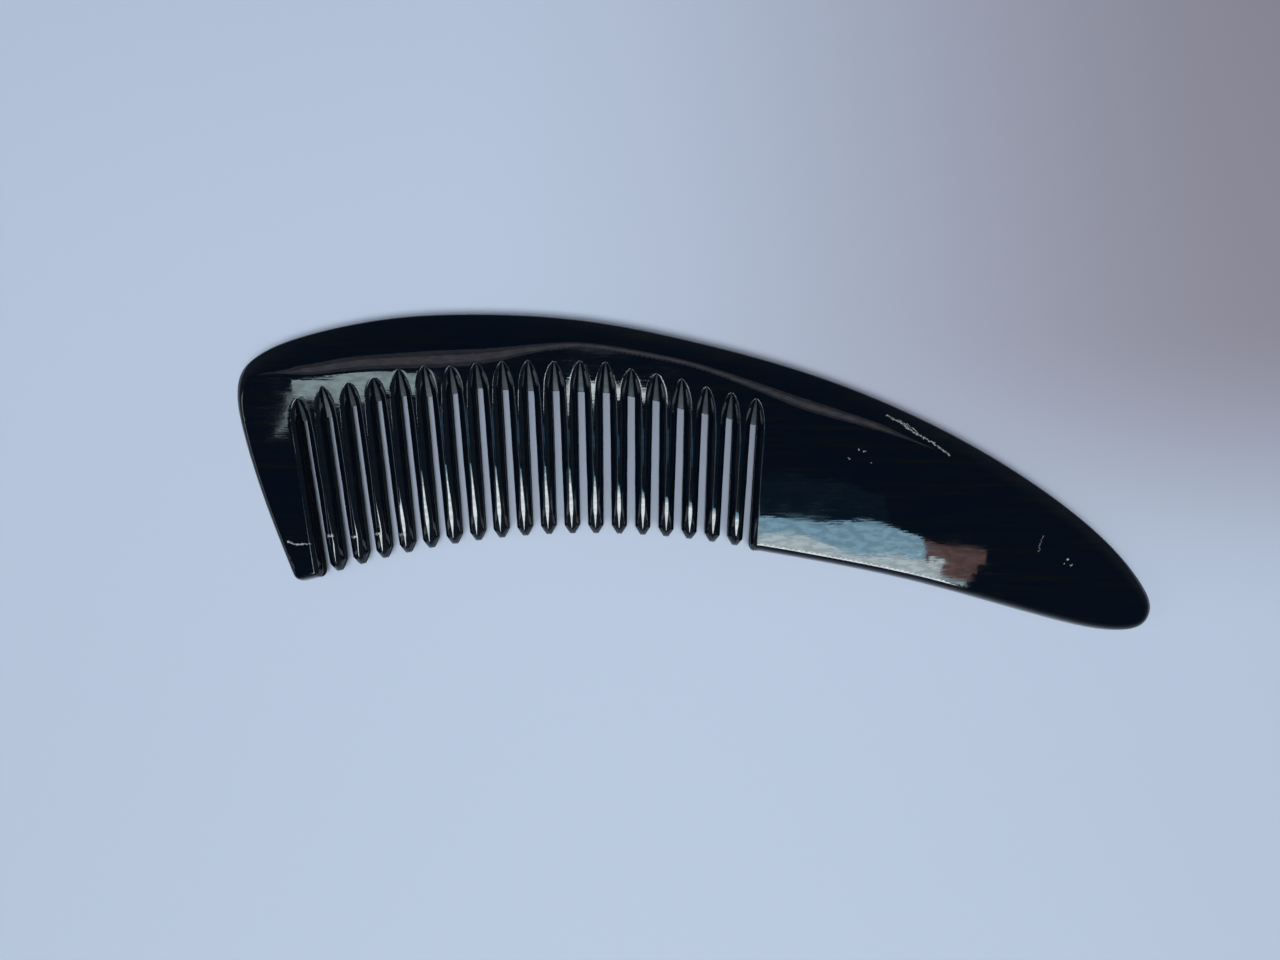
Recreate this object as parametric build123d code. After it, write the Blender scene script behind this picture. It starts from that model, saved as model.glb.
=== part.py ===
from build123d import *
import math
import os

# Wide tooth comb carved from one piece of horn, lying flat.
#
# +X runs from the end guard to the tip of the handle, +Y from the tooth tips to the spine, and
# +Z up out of the face. The origin is under the middle of the outline, on the surface that the
# comb lies on. Sizes are in millimetres.
#
# The real comb is one solid piece. It is written here as the regions that a comb maker names:
# spine, handle, end guard and each tooth. They meet face to face along plain cuts and share one
# body, so nothing moves and nothing overlaps.

# Driving sizes
comb_length = 193.2  # end guard to handle tip, along X
comb_depth = 67.2  # top of the spine to the lowest point of the handle, along Y
thickness = 6.4  # over both faces
edge_roll = 2.4  # radius of the rolled outer edge

tooth_count = 18
gap_width = 1.7  # clear width of a saw cut
wall_height = 3.0  # straight wall of a saw cut, at mid-thickness
groove_width = 4.2  # rim to rim, where a groove is deepest
groove_runout = 6.0  # from the end of a saw cut to the point of its arch
tooth_tip_width = 1.1  # flat end of a tooth
tooth_tip_taper = 1.9  # length over which a tooth narrows to its end
tooth_tip_thinning = 0.7  # taken off each face at the end of a tooth
tooth_thinning_start = 14.0  # length of tooth that is thinned

corner_radius = 2.6  # lower corners of the guard and of the handle

# Where the row of teeth lies, as places in the outline
row_upper_y = 6.8  # the first line across the row, where the gaps are set out
row_upper_x = (-81.8, -34.0, 12.6)  # first, middle and last gap on that line
row_lower_y = -6.0  # the second line across the row
row_lower_x = (-79.8, -33.4, 11.8)  # first, middle and last gap on that line
root_crown_y = 17.4  # the saw cuts end on an arch: its crown
root_end_y = 10.3  # and its two ends
tip_crown = (-22.0, -13.0)  # the tooth tips follow an arch: its crown
tip_bend = 0.0026  # and how fast it falls away from the crown, per millimetre squared

# The outline, walked clockwise from the foot of the end guard's outer edge
outer_edge = [
    (-85.4, -20.4),
    (-91.6, -5.1),
    (-95.6, 9.5),
    (-96.5, 16.0),
    (-95.6, 21.2),
    (-91.7, 25.1),
    (-83.6, 28.6),
    (-65.0, 32.6),
    (-48.0, 33.6),
    (-24.0, 32.4),
    (1.5, 27.5),
    (27.0, 20.2),
    (54.7, 8.2),
    (76.0, -5.0),
    (88.5, -15.6),
    (94.6, -23.2),
    (96.6, -28.6),
    (94.8, -32.3),
    (89.5, -33.6),
    (76.0, -31.2),
    (50.4, -24.1),
    (31.0, -19.8),
    (16.0, -17.2),
]
guard_foot = (-79.0, -22.6)  # inner lower corner of the end guard
guard_heel = (-84.4, -23.3)  # its outer lower corner
handle_corner = (12.4, -16.6)  # lower corner where the handle meets the last gap

outline_length = 193.1  # of the points above
outline_depth = 67.2
stretch_x = comb_length / outline_length
stretch_y = comb_depth / outline_depth
gap_count = tooth_count + 1
middle_z = thickness / 2
groove_depth = (thickness - wall_height) / 2
over = 1.0  # how far a cutting tool runs past what it cuts


def place(x, y):
    """A point of the outline at the comb's overall size."""
    return (x * stretch_x, y * stretch_y)


def through_three(values, share):
    """The quadratic through a first, middle and last value, at a share from 0 to 1."""
    first, middle, last = values
    return (
        first * (1 - share) * (1 - 2 * share)
        + middle * 4 * share * (1 - share)
        + last * share * (2 * share - 1)
    )


def tip_arch_y(x):
    """Height of the arch that the tooth tips follow, in outline sizes."""
    return tip_crown[1] - tip_bend * (x - tip_crown[0]) ** 2


class Gap:
    """One saw cut: its middle line, from its closed end at the root to beyond the tips."""

    def __init__(self, index):
        share = index / (gap_count - 1)
        upper_x = through_three(row_upper_x, share)
        lower_x = through_three(row_lower_x, share)
        lean = (lower_x - upper_x) / (row_lower_y - row_upper_y)
        end_y = through_three((root_end_y, root_crown_y, root_end_y), share)
        foot_y = tip_arch_y(lower_x)
        self.end = Vector(*place(upper_x + lean * (end_y - row_upper_y), end_y))
        self.foot = Vector(*place(upper_x + lean * (foot_y - row_upper_y), foot_y))
        self.down = (self.foot - self.end).normalized()
        self.across = Vector(-self.down.Y, self.down.X)

    def at(self, along, aside=0.0):
        """A point so far down the cut from its closed end, and so far to its right."""
        return self.end + self.down * along + self.across * aside

    def reach(self):
        """From the closed end to well past the tooth tips."""
        return (self.foot - self.end).length + corner_radius + 3 * over


gaps = [Gap(index) for index in range(gap_count)]


def slab(points, low=-over, high=None):
    """A straight-sided block over a plan polygon."""
    top = thickness + over if high is None else high
    face = make_face(Polyline(*[(p.X, p.Y) for p in points], close=True))
    return Pos(0, 0, low) * extrude(face, top - low)


def make_blank():
    """The whole outline as a plate with rolled edges, before any saw cut."""
    points = [place(*p) for p in outer_edge]
    edge = Spline(*points)
    corners = [place(*p) for p in (handle_corner, guard_foot, guard_heel)]
    base = Polyline(points[-1], *corners, points[0])
    face = make_face(edge + base)
    plate = extrude(face, thickness)
    marks = [Vector(*corner, middle_z) for corner in corners]
    upright = plate.edges().filter_by(Axis.Z)
    sharp = [edge for edge in upright if min((edge.center() - mark).length for mark in marks) < over]
    plate = fillet(sharp, corner_radius)
    rims = plate.edges().filter_by_position(Axis.Z, -0.01, 0.01)
    rims += plate.edges().filter_by_position(Axis.Z, thickness - 0.01, thickness + 0.01)
    return fillet(rims, edge_roll)


def groove_section(gap, along, depth_share):
    """Cross-section of a groove on the upper face, across its saw cut.

    Its flat bottom is as wide as the cut where the groove is deepest, and narrows with its depth.
    """
    rim = groove_width / 2 * math.sqrt(depth_share)
    floor = gap_width / 2 * depth_share
    flare = 1 + over / groove_depth
    low = thickness - groove_depth * depth_share
    high = thickness + over
    rim_high = floor + (rim - floor) * flare
    corners = [(-rim_high, high), (rim_high, high), (floor, low), (-floor, low)]
    points = [gap.at(along, aside) + Vector(0, 0, z) for aside, z in corners]
    return make_face(Polyline(*points, close=True))


def gap_cutters(gap):
    """The saw cut and the groove on each face that eases into it."""
    half = gap_width / 2
    cut = slab([gap.at(0, -half), gap.at(0, half), gap.at(gap.reach(), half), gap.at(gap.reach(), -half)])
    stations = [(-groove_runout, 0.02), (-groove_runout * 0.8, 0.2), (-groove_runout * 0.4, 0.62), (0.0, 1.0)]
    arch = loft([groove_section(gap, along, share) for along, share in stations], ruled=True)
    run = loft([groove_section(gap, 0.0, 1.0), groove_section(gap, gap.reach(), 1.0)], ruled=True)
    upper = [arch, run]
    lower = [mirror(tool, about=Plane.XY.offset(middle_z)) for tool in upper]
    return [cut] + upper + lower


def tooth_outline(left, right):
    """Plan of one tooth with half of the gap on each side, and its narrowed end."""
    inset = gap_width / 2
    tip_left = left.foot + left.across * inset
    tip_right = right.foot - right.across * inset
    tip = (tip_left + tip_right) * 0.5
    crosswise = (tip_right - tip_left).normalized()
    shoulder_left = tip_left - left.down * tooth_tip_taper
    shoulder_right = tip_right - right.down * tooth_tip_taper
    end_left = tip - crosswise * (tooth_tip_width / 2)
    end_right = tip + crosswise * (tooth_tip_width / 2)
    return [left.end, right.end, shoulder_right, end_right, end_left, shoulder_left]


def thinning_tools(left, right):
    """Two wedges that thin a tooth towards its end, one on each face."""
    down = (left.down + right.down).normalized()
    crosswise = Vector(-down.Y, down.X)
    foot = (left.foot + right.foot) * 0.5
    start = foot - down * tooth_thinning_start
    side = crosswise * (groove_width * 1.5)
    profile = [
        start + Vector(0, 0, thickness),
        start + Vector(0, 0, thickness + over),
        foot + Vector(0, 0, thickness + over),
        foot + Vector(0, 0, thickness - tooth_tip_thinning),
    ]
    face = make_face(Polyline(*[p - side for p in profile], close=True))
    upper = extrude(face, amount=2 * side.length, dir=crosswise)
    return [upper, mirror(upper, about=Plane.XY.offset(middle_z))]


def split_regions(carved):
    """Each named region of the carved comb."""
    far = 2 * comb_length
    first, last = gaps[0], gaps[-1]
    root_line = [gap.end for gap in gaps]
    pieces = {}
    for number in range(1, tooth_count + 1):
        left, right = gaps[number - 1], gaps[number]
        tooth = carved & slab(tooth_outline(left, right))
        for tool in thinning_tools(left, right):
            tooth = tooth - tool
        pieces[f"tooth_{number:02d}"] = tooth
    guard_cut = slab([first.end, first.at(far), Vector(-far, -far), Vector(-far, first.end.Y)])
    handle_cut = slab([last.end, Vector(last.end.X, far), Vector(far, far), Vector(far, -far), last.at(far)])
    spine_cut = slab(root_line + [Vector(last.end.X, far), Vector(-far, far), Vector(-far, first.end.Y)])
    pieces["end_guard"] = carved & guard_cut
    pieces["handle"] = carved & handle_cut
    pieces["spine"] = carved & spine_cut
    return pieces


def main():
    """Carves the comb and writes one file per region."""
    blank = make_blank()
    tools = [tool for gap in gaps for tool in gap_cutters(gap)]
    carved = blank - tools
    os.makedirs("parts", exist_ok=True)
    for name, piece in split_regions(carved).items():
        solids = piece.solids()
        print(name, len(solids), round(sum(solid.volume for solid in solids), 1))
        export_step(Compound(children=list(solids)), f"parts/{name}.step")


main()
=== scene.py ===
# %% [markdown]
# # A wide tooth comb carved from polished horn
#
# The real comb is one flat plate of near-black buffalo horn. Its maker saws the outline, rolls the
# edges over, saws a row of gaps, eases every gap on both faces with a V-shaped wheel, points the
# teeth and polishes the whole thing until it shines like glass. This lesson follows that order:
# first the blank, then the gaps, then the teeth, then the polish.

# %% Load the fixed frame
import math
import bpy
import numpy as np
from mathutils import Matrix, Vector, kdtree
from mathutils.geometry import delaunay_2d_cdt


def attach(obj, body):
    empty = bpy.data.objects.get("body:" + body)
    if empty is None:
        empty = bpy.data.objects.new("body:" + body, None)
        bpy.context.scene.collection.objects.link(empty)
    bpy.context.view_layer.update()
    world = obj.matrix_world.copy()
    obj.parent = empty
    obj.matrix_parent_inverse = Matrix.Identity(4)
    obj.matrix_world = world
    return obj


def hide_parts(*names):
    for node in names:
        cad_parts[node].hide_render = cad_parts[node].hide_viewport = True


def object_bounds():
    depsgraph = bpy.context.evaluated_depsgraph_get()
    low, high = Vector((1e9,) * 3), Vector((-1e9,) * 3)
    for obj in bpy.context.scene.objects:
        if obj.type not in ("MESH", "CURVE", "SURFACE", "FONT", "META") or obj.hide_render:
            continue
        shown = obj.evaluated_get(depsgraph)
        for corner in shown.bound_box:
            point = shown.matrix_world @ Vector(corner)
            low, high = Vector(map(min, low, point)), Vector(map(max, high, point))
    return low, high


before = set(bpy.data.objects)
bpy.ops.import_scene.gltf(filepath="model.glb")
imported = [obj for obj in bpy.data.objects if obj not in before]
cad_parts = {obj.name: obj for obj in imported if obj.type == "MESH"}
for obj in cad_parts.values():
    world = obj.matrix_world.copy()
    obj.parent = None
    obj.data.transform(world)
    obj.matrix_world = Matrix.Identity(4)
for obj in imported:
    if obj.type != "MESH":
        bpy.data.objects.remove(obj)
cad_low, cad_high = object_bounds()
METRE = 0.001  # shapes are worked out in millimetres and turned to metres when a mesh is made
comb_length = (cad_high.x - cad_low.x) / METRE
comb_depth = (cad_high.y - cad_low.y) / METRE
half_thick = (cad_high.z - cad_low.z) / 2 / METRE
print("comb", round(comb_length, 1), "x", round(comb_depth, 1), "x", round(2 * half_thick, 1), "mm")

# %% [markdown]
# ## The outline
#
# A comb maker draws the outline as one sweep of the pencil round a template. A smooth curve through
# well-placed points does the same. It could be a chain of arcs, but arcs change their bend
# suddenly where they meet, and a polished edge shows that as a kink in its highlight.

# %% One smooth curve through a few points
outer_edge = [  # x, y and the width over which the edge is rolled there
    (-80.1, -22.6, 1.2),
    (-81.5, -22.9, 1.2),
    (-82.8, -23.1, 1.2),
    (-83.9, -22.6, 1.2),
    (-84.7, -21.2, 1.2),
    (-86.0, -18.0, 1.3),
    (-90.8, -5.6, 1.4),
    (-95.3, 9.0, 1.6),
    (-96.5, 16.0, 2.0),
    (-95.6, 21.2, 3.0),
    (-91.7, 25.1, 5.5),
    (-83.6, 28.6, 9.5),
    (-65.0, 32.6, 11.8),
    (-48.0, 33.6, 12.6),
    (-24.0, 32.4, 6.0),
    (1.5, 27.5, 5.8),
    (27.0, 20.2, 9.4),
    (54.7, 8.2, 5.6),
    (76.0, -5.0, 5.0),
    (88.5, -15.6, 4.0),
    (94.6, -23.2, 3.0),
    (96.6, -28.6, 2.2),
    (94.8, -32.3, 1.8),
    (89.5, -33.6, 1.6),
    (76.0, -31.2, 1.5),
    (50.4, -24.1, 1.6),
    (31.0, -19.8, 1.5),
    (16.0, -17.1, 1.5),
    (13.6, -16.7, 1.5),
]
edge_step = 0.55  # between points of the finished outline
spline_steps = 40  # places worked out between two given points
roll_softening = 18  # outline points on each side over which the roll is evened out


def smooth_curve(points, step):
    """Places about one step apart on the smoothest curve through the given ones, and the roll at each."""
    p = np.array(points, float)[:, :2]
    gaps_between = np.linalg.norm(np.diff(p, axis=0), axis=1) ** 0.75
    knots = np.concatenate([[0], np.cumsum(gaps_between)])
    n = len(p)
    system = np.zeros((n, n))
    right = np.zeros((n, 2))
    system[0, 0] = system[-1, -1] = 1
    for i in range(1, n - 1):
        h0, h1 = knots[i] - knots[i - 1], knots[i + 1] - knots[i]
        system[i, i - 1 : i + 2] = h0, 2 * (h0 + h1), h1
        right[i] = 6 * ((p[i + 1] - p[i]) / h1 - (p[i] - p[i - 1]) / h0)
    bend = np.linalg.solve(system, right)
    fine = []
    for i in range(n - 1):
        h = knots[i + 1] - knots[i]
        s = np.linspace(0, h, spline_steps, endpoint=False)[:, None]
        a, b = h - s, s
        fine.append(
            bend[i] * a**3 / (6 * h)
            + bend[i + 1] * b**3 / (6 * h)
            + (p[i] / h - bend[i] * h / 6) * a
            + (p[i + 1] / h - bend[i + 1] * h / 6) * b
        )
    fine = np.concatenate(fine + [p[-1:]])
    length = np.concatenate([[0], np.cumsum(np.linalg.norm(np.diff(fine, axis=0), axis=1))])
    even = np.linspace(0, length[-1], int(length[-1] / step) + 1)
    rolls = np.interp(even, length[::spline_steps], [point[2] for point in points])
    soften = np.hanning(2 * roll_softening + 1)
    rolls = np.convolve(np.pad(rolls, roll_softening, mode="edge"), soften / soften.sum(), mode="valid")
    return np.stack([np.interp(even, length, fine[:, k]) for k in (0, 1)], axis=1), rolls


outline, roll_widths = smooth_curve(outer_edge, edge_step)
low, high = outline.min(0), outline.max(0)
comb_middle = np.array([cad_low.x + cad_high.x, cad_low.y + cad_high.y]) / 2 / METRE
outline = (outline - (low + high) / 2) * np.array([comb_length, comb_depth]) / (high - low) + comb_middle
print("outline points", len(outline))

# %% [markdown]
# ## The gaps
#
# Each gap is one saw cut, made by eye, so the row fans out and no two cuts end at quite the same
# height. A gap is kept here as a straight middle line with three marks on it: the point of its
# carved arch, the closed end of the cut, and its mouth between the tips.

# %% The row of gaps, as uneven as the hand left it
tooth_count = 18
upper_line, lower_line = 6.8, -6.0  # the two heights at which the gaps are set out
upper_places = (-81.8, -34.0, 12.6)  # first, middle and last gap on the upper line
lower_places = (-79.8, -33.4, 11.8)  # and on the lower line
cut_ends = [10.9, 11.7, 14.0, 15.1, 16.1, 16.0, 16.6, 17.8, 17.4, 17.2]
cut_ends += [17.2, 17.0, 16.8, 16.0, 15.1, 13.4, 12.3, 11.3, 10.0]
arch_points = [15.4, 18.0, 18.7, 19.7, 21.6, 22.4, 22.2, 22.9, 23.2, 23.4]
arch_points += [23.2, 23.3, 23.1, 21.6, 20.6, 19.5, 17.8, 16.6, 15.3]
tip_crown = (-22.0, -13.0)  # the tooth tips follow an arch: its crown
tip_bend = 0.0026  # and how fast it falls away, per millimetre squared
usual_pitch = 5.15


def through_three(values, share):
    """The quadratic through a first, middle and last value, at a share from 0 to 1."""
    first, middle, last = values
    outer = first * (1 - share) * (1 - 2 * share) + middle * 4 * share * (1 - share)
    return outer + last * share * (2 * share - 1)


class Gap:
    """One saw cut: a straight middle line running down from the point of its arch."""

    def __init__(self, index):
        share = index / tooth_count
        upper = np.array([through_three(upper_places, share), upper_line])
        lower = np.array([through_three(lower_places, share), lower_line])
        self.down = (lower - upper) / np.linalg.norm(lower - upper)
        self.right = np.array([-self.down[1], self.down[0]])
        self.origin = upper
        self.end = self.at_height(cut_ends[index])
        self.point = self.at_height(arch_points[index])
        self.foot = self.at_height(tip_crown[1] - tip_bend * (lower[0] - tip_crown[0]) ** 2)

    def at_height(self, y):
        """The place on the middle line at a height y."""
        return self.origin + self.down * (y - self.origin[1]) / self.down[1]


gaps = [Gap(i) for i in range(tooth_count + 1)]
print("gaps", len(gaps), "mean pitch", round((gaps[-1].origin[0] - gaps[0].origin[0]) / tooth_count, 2), "mm")

# %% [markdown]
# ## The section across half a gap
#
# Across a gap the wheel leaves the same shape everywhere: a straight sawn wall at mid-thickness, a
# bevel above it in two strokes, a crisp rim, and the flat crest of the tooth. Where the cut ends,
# the wheel runs out of the horn and the section shrinks to nothing in a pointed arch, with a
# sloping floor inside it. One function gives that section at any place along the gap, so the arch
# and the tooth meet exactly.

# %% The carved section
cut_half = 0.72  # half the clear width of a gap at its closed end
cut_flare = 0.20  # how much half the width grows by the tips
rim_half = usual_pitch / 2 - 0.60  # half the width of a groove at the face, where its cut ends
bevel_deep = 1.7  # from the face down to the top of the sawn wall
tip_half = 0.5  # half the width of a tooth's end
tip_taper = 0.062  # share of the tooth's length over which it narrows
floor_steps, wall_steps, corner_steps, bevel_steps, crest_steps = 3, 4, 3, 2, 3


def ease(x):
    """0 to 1 with a soft start and end."""
    x = min(max(x, 0.0), 1.0)
    return x * x * (3 - 2 * x)


def crest_half_at(along):
    """Half the width of the crest: it narrows to a thin line, then opens as a leaf that closes at the tip."""
    root = 0.34 * math.exp(-along / 0.11)
    leaf = 0.24 * math.exp(-(((along - 0.82) / 0.16) ** 2))
    close = 1 - ease((along - 0.8) / 0.2) * 0.93
    return (0.26 + root + leaf) * close


def crest_height_at(along):
    """Height of the crest over mid-thickness, level to its blunt end: thinning comes later."""
    blunt = math.sqrt(max(0.0, 1 - max(0.0, (along - 0.955) / 0.045) ** 2))
    return half_thick * blunt


def rounded_corner(before, corner, after, radius):
    """Points of a small polished corner, from one side to the other."""
    before, corner, after = (np.array(p, float) for p in (before, corner, after))
    reach_a, reach_b = np.linalg.norm(before - corner), np.linalg.norm(after - corner)
    a = corner + (before - corner) * min(radius, 0.45 * reach_a) / max(reach_a, 1e-9)
    b = corner + (after - corner) * min(radius, 0.45 * reach_b) / max(reach_b, 1e-9)
    share = np.linspace(0, 1, corner_steps + 1)[:, None]
    return list(a * (1 - share) ** 2 + corner * 2 * share * (1 - share) + b * share**2)


def half_section(along):
    """(aside, height) points from the middle of a gap to the middle of its tooth.

    along runs from -1 at the point of the arch, over 0 at the end of the cut, to 1 at the tip."""
    if along <= 0:
        run = 1 + along
        rim = rim_half * (1 - (1 - run) ** 2) ** 0.7
        wall = cut_half * run**0.8
        top = half_thick
        wall_top = top - bevel_deep * rim / rim_half
        floor = wall_top - (half_thick - bevel_deep) * run**1.6
        crest_edge = rim
    else:
        top = crest_height_at(along)
        taper = max(0.0, (along - (1 - tip_taper)) / tip_taper)
        wall = cut_half + cut_flare * min(along, 1 - tip_taper)
        wall = usual_pitch / 2 - (usual_pitch / 2 - wall) * (1 - taper) - tip_half * taper
        crest_edge = usual_pitch / 2 - crest_half_at(along) * (1 - 0.4 * taper)
        wall_top = (half_thick - bevel_deep) * (top / half_thick) ** 0.6
        floor = 0.0
    base, shoulder, rim_point = (wall, floor), (wall, wall_top), (crest_edge, top)
    stroke = 0.52 * (np.array(rim_point) - shoulder) + shoulder
    stroke = stroke + np.array([-0.05, 0.05]) * (crest_edge - wall)
    points = [np.array([wall * k / floor_steps, floor]) for k in range(floor_steps)]
    corner_a = rounded_corner(base, shoulder, stroke, 0.30)
    corner_b = rounded_corner(stroke, rim_point, (usual_pitch / 2, top), 0.16)
    points += [np.array(base) + (corner_a[0] - base) * k / wall_steps for k in range(wall_steps)]
    points += corner_a
    points += [stroke + (corner_a[-1] - stroke) * 0.12, stroke + (corner_b[0] - stroke) * 0.12]
    points += corner_b
    middle = np.array([usual_pitch / 2, top])
    crest = middle - corner_b[-1]
    points += [corner_b[-1] + crest * k / crest_steps for k in range(1, crest_steps + 1)]
    return np.array(points)


section_size = len(half_section(0.0))
rim_column = section_size - 1 - crest_steps
arch_shares = [0, 0.006, 0.02, 0.045, 0.08, 0.13, 0.19, 0.26, 0.34]
arch_shares += [0.43, 0.53, 0.63, 0.73, 0.82, 0.9, 0.96, 0.99, 1]
arch_rows = [-1 + share for share in arch_shares]
tooth_rows = [0, 0.01, 0.03] + [0.06 + 0.035 * k for k in range(25)] + [0.925, 0.934, 0.938, 0.944]
tooth_rows += [0.95, 0.958, 0.966, 0.974, 0.981, 0.987, 0.992, 0.996, 0.999, 1]
print("points across half a gap", section_size, "rows along a tooth", len(tooth_rows))

# %% [markdown]
# ## Teeth and arches with Geometry Nodes
#
# Eighteen teeth and the arches between them repeat one pattern, each stretched to its own place in
# the fan. They could be copied with an array and bent one by one. Geometry Nodes do it in one go:
# the pattern is instanced on one point for each tooth, every point carries the four corners of its
# own place as attributes, and the realized copies are then laid between those corners.

# %% The pattern sheet in its own square space
def sheet_mesh(name, rows):
    """One pattern: across and along from 0 to 1, with the carved height as an attribute."""
    places, heights = [], []
    first_column = floor_steps if rows[-1] > 0 else 0  # below its end the cut has no floor
    for row in rows:
        half = half_section(row)[first_column:]
        left = [(aside / usual_pitch, height) for aside, height in half]
        right = [(1 - across, height) for across, height in reversed(left[:-1])]
        for across, height in left + right:
            places.append((across, row - rows[0], 0))
            heights.append(height * METRE)
    width = 2 * (section_size - first_column) - 1
    faces = [
        (r * width + c, (r + 1) * width + c, (r + 1) * width + c + 1, r * width + c + 1)
        for r in range(len(rows) - 1)
        for c in range(width - 1)
    ]
    mesh = bpy.data.meshes.new(name)
    mesh.from_pydata(places, [], faces)
    rise = mesh.attributes.new("rise", "FLOAT", "POINT")
    rise.data.foreach_set("value", heights)
    return mesh


def point_mesh(name, corners):
    """One point for each copy, carrying the four corners of its place and its number."""
    mesh = bpy.data.meshes.new(name)
    mesh.from_pydata([(0, 0, 0)] * len(corners), [], [])
    for k, corner in enumerate(("upper_left", "upper_right", "lower_left", "lower_right")):
        values = [(*(c[k] * METRE), 0.0) for c in corners]
        mesh.attributes.new(corner, "FLOAT_VECTOR", "POINT").data.foreach_set("vector", np.ravel(values))
    mesh.attributes.new("number", "INT", "POINT").data.foreach_set("value", range(1, len(corners) + 1))
    return mesh


# %% The node tree that lays a pattern between corners
def laying_tree():
    """Instances a pattern on points, realizes it and lays each copy between its four corners."""
    tree = bpy.data.node_groups.new("Lay pattern along the row", "GeometryNodeTree")
    face = tree.interface
    face.new_socket("Geometry", in_out="INPUT", socket_type="NodeSocketGeometry")
    face.new_socket("Geometry", in_out="OUTPUT", socket_type="NodeSocketGeometry")
    face.new_socket("Pattern", in_out="INPUT", socket_type="NodeSocketObject")
    for name, value in (("Hand wander", 0.00004), ("Wander scale", 260.0)):
        socket = face.new_socket(name, in_out="INPUT", socket_type="NodeSocketFloat")
        socket.default_value = value
    face.new_socket("Seed", in_out="INPUT", socket_type="NodeSocketInt").default_value = 7
    face.new_socket("Finish", in_out="INPUT", socket_type="NodeSocketMaterial")
    link = tree.links.new

    def node(kind, **settings):
        made = tree.nodes.new(kind)
        for key, value in settings.items():
            setattr(made, key, value)
        return made

    def attribute(name, kind="FLOAT_VECTOR"):
        made = node("GeometryNodeInputNamedAttribute", data_type=kind)
        made.inputs["Name"].default_value = name
        return made.outputs["Attribute"]

    def mix(share, a, b):
        made = node("ShaderNodeMix", data_type="VECTOR", clamp_factor=False)
        link(share, made.inputs[0])
        link(a, made.inputs[4])
        link(b, made.inputs[5])
        return made.outputs[1]

    def maths(operation, a, b):
        made = node("ShaderNodeMath", operation=operation)
        for socket, value in zip(made.inputs, (a, b)):
            if isinstance(value, (int, float)):
                socket.default_value = value
            else:
                link(value, socket)
        return made.outputs[0]

    entry, leave = node("NodeGroupInput"), node("NodeGroupOutput")
    source = node("GeometryNodeObjectInfo")
    link(entry.outputs["Pattern"], source.inputs["Object"])
    copies = node("GeometryNodeInstanceOnPoints")
    link(entry.outputs["Geometry"], copies.inputs["Points"])
    link(source.outputs["Geometry"], copies.inputs["Instance"])
    real = node("GeometryNodeRealizeInstances")
    link(copies.outputs["Instances"], real.inputs["Geometry"])
    place = node("ShaderNodeSeparateXYZ")
    link(node("GeometryNodeInputPosition").outputs[0], place.inputs[0])
    across, along = place.outputs["X"], place.outputs["Y"]
    upper = mix(across, attribute("upper_left"), attribute("upper_right"))
    lower = mix(across, attribute("lower_left"), attribute("lower_right"))
    flat = mix(along, upper, lower)
    noise = node("ShaderNodeTexNoise", noise_dimensions="4D")
    noise.inputs["Detail"].default_value = 1.0
    link(flat, noise.inputs["Vector"])
    link(entry.outputs["Wander scale"], noise.inputs["Scale"])
    link(maths("ADD", attribute("number", "INT"), entry.outputs["Seed"]), noise.inputs["W"])
    sway = maths("SUBTRACT", noise.outputs[0], 0.5)
    sway = maths("MULTIPLY", sway, entry.outputs["Hand wander"])
    inside = maths("MULTIPLY", maths("MULTIPLY", across, maths("SUBTRACT", 1.0, across)), 8.0)
    inside = maths("MULTIPLY", inside, maths("MULTIPLY", along, maths("SUBTRACT", 1.0, along)))
    sway = maths("MULTIPLY", sway, maths("MULTIPLY", inside, 4.0))
    lift = node("ShaderNodeCombineXYZ")
    link(sway, lift.inputs["X"])
    link(attribute("rise", "FLOAT"), lift.inputs["Z"])
    total = node("ShaderNodeVectorMath", operation="ADD")
    link(flat, total.inputs[0])
    link(lift.outputs[0], total.inputs[1])
    shift = node("GeometryNodeSetPosition")
    link(real.outputs[0], shift.inputs["Geometry"])
    link(total.outputs[0], shift.inputs["Position"])
    finish = node("GeometryNodeSetMaterial")
    link(shift.outputs[0], finish.inputs["Geometry"])
    link(entry.outputs["Finish"], finish.inputs["Material"])
    link(finish.outputs[0], leave.inputs[0])
    return tree


horn = bpy.data.materials.new("polished_horn")
horn.use_nodes = True
row_tree = laying_tree()


def lay_pattern(name, rows, corners, wander):
    """The evaluated copies as (points in millimetres, faces, number of each point)."""
    pattern = bpy.data.objects.new(name + "_pattern", sheet_mesh(name + "_pattern", rows))
    row = bpy.data.objects.new(name, point_mesh(name, corners))
    for thing in (pattern, row):
        bpy.context.scene.collection.objects.link(thing)
    modifier = row.modifiers.new("Lay", "NODES")
    modifier.node_group = row_tree
    sockets = {item.name: item.identifier for item in row_tree.interface.items_tree if item.in_out == "INPUT"}
    modifier[sockets["Pattern"]] = pattern
    modifier[sockets["Hand wander"]] = wander * METRE
    modifier[sockets["Wander scale"]] = 130.0
    modifier[sockets["Seed"]] = 7
    modifier[sockets["Finish"]] = horn
    whole = bpy.data.meshes.new_from_object(row.evaluated_get(bpy.context.evaluated_depsgraph_get()))
    points = np.empty(len(whole.vertices) * 3)
    whole.vertices.foreach_get("co", points)
    numbers = np.empty(len(whole.vertices), np.int32)
    whole.attributes["number"].data.foreach_get("value", numbers)
    faces = [tuple(face.vertices) for face in whole.polygons]
    row.modifiers.remove(modifier)
    for thing in (pattern, row):
        mesh = thing.data
        bpy.data.objects.remove(thing)
        bpy.data.meshes.remove(mesh)
    bpy.data.meshes.remove(whole)
    print(name, "copies", len(corners), "points", len(numbers))
    return points.reshape(-1, 3) / METRE, faces, numbers


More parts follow.
